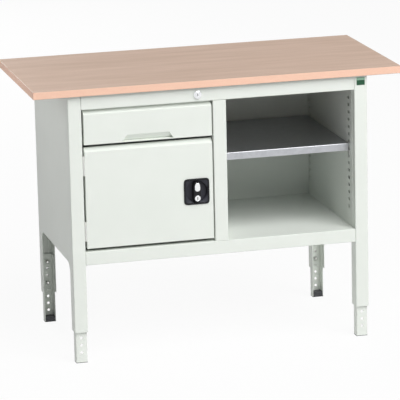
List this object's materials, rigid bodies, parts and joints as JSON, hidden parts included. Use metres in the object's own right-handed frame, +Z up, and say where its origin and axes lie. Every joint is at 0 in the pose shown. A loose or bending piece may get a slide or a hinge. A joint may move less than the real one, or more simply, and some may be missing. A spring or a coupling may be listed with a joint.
{
  "type": "workbench with cabinet",
  "caption": "Steel workbench with a plywood top, height-adjustable legs, and a cabinet with a drawer over a hinged door beside an open bay with a shelf.",
  "frame": {"origin": "on the floor, under the middle of the worktop", "axes": "+X to the user's right along the worktop, +Y from the front to the back, +Z up"},
  "size_m": [1.25, 0.6, 0.93],
  "materials": {
    "powder_coat": "light grey powder coat, fine texture, satin",
    "plywood": "beech multiplex, oiled, with ply layers on the edges",
    "galvanised": "galvanised sheet, semi-gloss",
    "zinc_plate": "bright zinc plate",
    "chrome": "polished",
    "black_plastic": "fine moulded texture",
    "badge_green": "plain and blank, with a paler band along its upper edge"
  },
  "bodies": {
    "frame": {"worktop": "plywood", "end_frame_left": "powder_coat", "end_frame_right": "powder_coat", "front_top_rail": "powder_coat", "rear_top_rail": "powder_coat", "base_pan": "powder_coat", "back_panel": "powder_coat", "side_liner_left": "powder_coat", "side_liner_right": "powder_coat", "centre_partition": "powder_coat", "worktop_screw_1": "zinc_plate", "worktop_screw_2": "zinc_plate", "worktop_screw_3": "zinc_plate", "worktop_screw_4": "zinc_plate", "worktop_screw_5": "zinc_plate", "worktop_screw_6": "zinc_plate", "shelf_clip_front_left": "zinc_plate", "shelf_clip_front_right": "zinc_plate", "shelf_clip_rear_left": "zinc_plate", "shelf_clip_rear_right": "zinc_plate", "runner_outer_left": "zinc_plate", "runner_outer_right": "zinc_plate", "hinge_frame_leaf_lower": "zinc_plate", "hinge_frame_leaf_upper": "zinc_plate", "hinge_pin_lower": "zinc_plate", "hinge_pin_upper": "zinc_plate", "top_lock_barrel": "chrome", "badge_plate": "badge_green"},
    "drawer": {"drawer_front": "powder_coat", "drawer_box": "powder_coat", "runner_inner_left": "zinc_plate", "runner_inner_right": "zinc_plate"},
    "runner_middle": {"runner_middle_left": "zinc_plate", "runner_middle_right": "zinc_plate"},
    "door": {"door_panel": "powder_coat", "door_stiffener": "powder_coat", "hinge_door_leaf_lower": "zinc_plate", "hinge_door_leaf_upper": "zinc_plate", "handle_plate": "black_plastic"},
    "handle": {"handle_grip": "black_plastic", "handle_thumb_pad": "chrome", "latch_cam": "zinc_plate", "latch_screw": "zinc_plate"},
    "door_lock": {"door_lock_plug": "chrome"},
    "top_lock": {"top_lock_plug": "chrome", "top_lock_cam": "zinc_plate"},
    "shelf": {"mid_shelf": "galvanised"},
    "leg_front_left": {"lower_leg_front_left": "powder_coat", "foot_front_left": "black_plastic", "leg_clamp_front_left": "zinc_plate"},
    "leg_front_right": {"lower_leg_front_right": "powder_coat", "foot_front_right": "black_plastic", "leg_clamp_front_right": "zinc_plate"},
    "leg_rear_left": {"lower_leg_rear_left": "powder_coat", "foot_rear_left": "black_plastic", "leg_clamp_rear_left": "zinc_plate"},
    "leg_rear_right": {"lower_leg_rear_right": "powder_coat", "foot_rear_right": "black_plastic", "leg_clamp_rear_right": "zinc_plate"}
  },
  "joints": [
    {"name": "leg_front_left_slide", "type": "slide", "parent": "frame", "child": "leg_front_left", "axis": [0, 0, 1], "range_m": [0, 0.1]},
    {"name": "leg_front_right_slide", "type": "slide", "parent": "frame", "child": "leg_front_right", "axis": [0, 0, 1], "range_m": [0, 0.1]},
    {"name": "leg_rear_left_slide", "type": "slide", "parent": "frame", "child": "leg_rear_left", "axis": [0, 0, 1], "range_m": [0, 0.1]},
    {"name": "leg_rear_right_slide", "type": "slide", "parent": "frame", "child": "leg_rear_right", "axis": [0, 0, 1], "range_m": [0, 0.1]},
    {"name": "drawer_slide", "type": "slide", "parent": "frame", "child": "drawer", "axis": [0, -1, 0], "range_m": [0, 0.42]},
    {"name": "runner_slide", "type": "slide", "parent": "frame", "child": "runner_middle", "axis": [0, -1, 0], "range_m": [0, 0.21]},
    {"name": "door_hinge", "type": "hinge", "parent": "frame", "child": "door", "pos_m": [-0.4615, -0.282, 0.55875], "axis": [0, 0, -1], "range_deg": [0, 110]},
    {"name": "handle_turn", "type": "hinge", "parent": "door", "child": "handle", "pos_m": [-0.083, -0.281, 0.5535], "axis": [0, 1, 0], "range_deg": [0, 90]},
    {"name": "door_lock_turn", "type": "hinge", "parent": "handle", "child": "door_lock", "pos_m": [-0.083, -0.288, 0.5325], "axis": [0, 1, 0], "range_deg": [0, 90]},
    {"name": "top_lock_turn", "type": "hinge", "parent": "frame", "child": "top_lock", "pos_m": [-0.074, -0.28, 0.88085], "axis": [0, 1, 0], "range_deg": [0, 90]},
    {"name": "shelf_slide", "type": "slide", "parent": "frame", "child": "shelf", "axis": [0, -1, 0], "range_m": [0, 0.4]}
  ],
  "couplings": [
    {"joint": "runner_slide", "follows": "drawer_slide", "ratio": 0.5}
  ]
}
